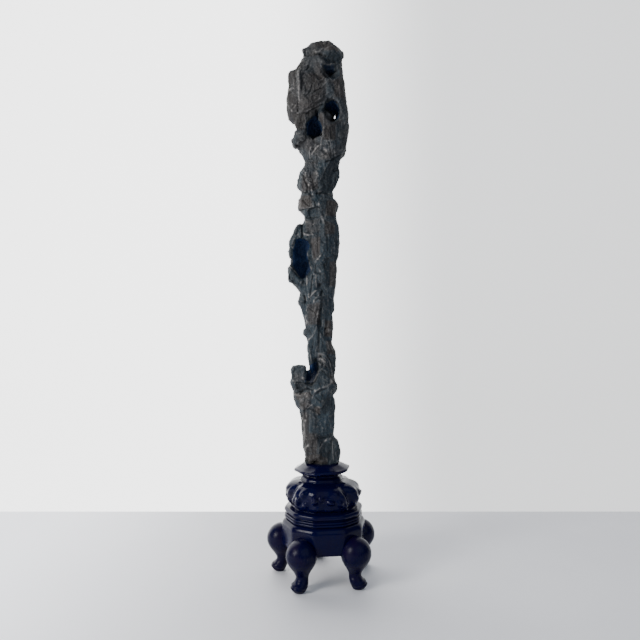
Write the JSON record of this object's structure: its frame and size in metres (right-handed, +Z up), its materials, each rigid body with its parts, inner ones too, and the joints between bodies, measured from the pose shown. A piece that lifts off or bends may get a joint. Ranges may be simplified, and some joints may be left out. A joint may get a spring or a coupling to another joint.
{
  "type": "scholars rock on stand",
  "caption": "Tall slender upright stone, pierced and ridged, standing in the flared collar of a small carved black stand on knobbed legs, for display on a table.",
  "frame": {"origin": "on the table under the middle of the whole outline", "axes": "+Z up along the stone, front of the stone towards -Y, +X to the right seen from the front"},
  "size_m": [0.1202, 0.121, 0.5847],
  "materials": {
    "stone": "dry dark limestone, worn edges paler, thin pale veins",
    "stand": "black lacquered hardwood, satin to gloss"
  },
  "bodies": {
    "root": {"stone": "stone", "stand_body": "stand", "leg_front_left": "stand", "leg_front_right": "stand", "leg_back_right": "stand", "leg_back": "stand", "leg_back_left": "stand"}
  },
  "joints": []
}
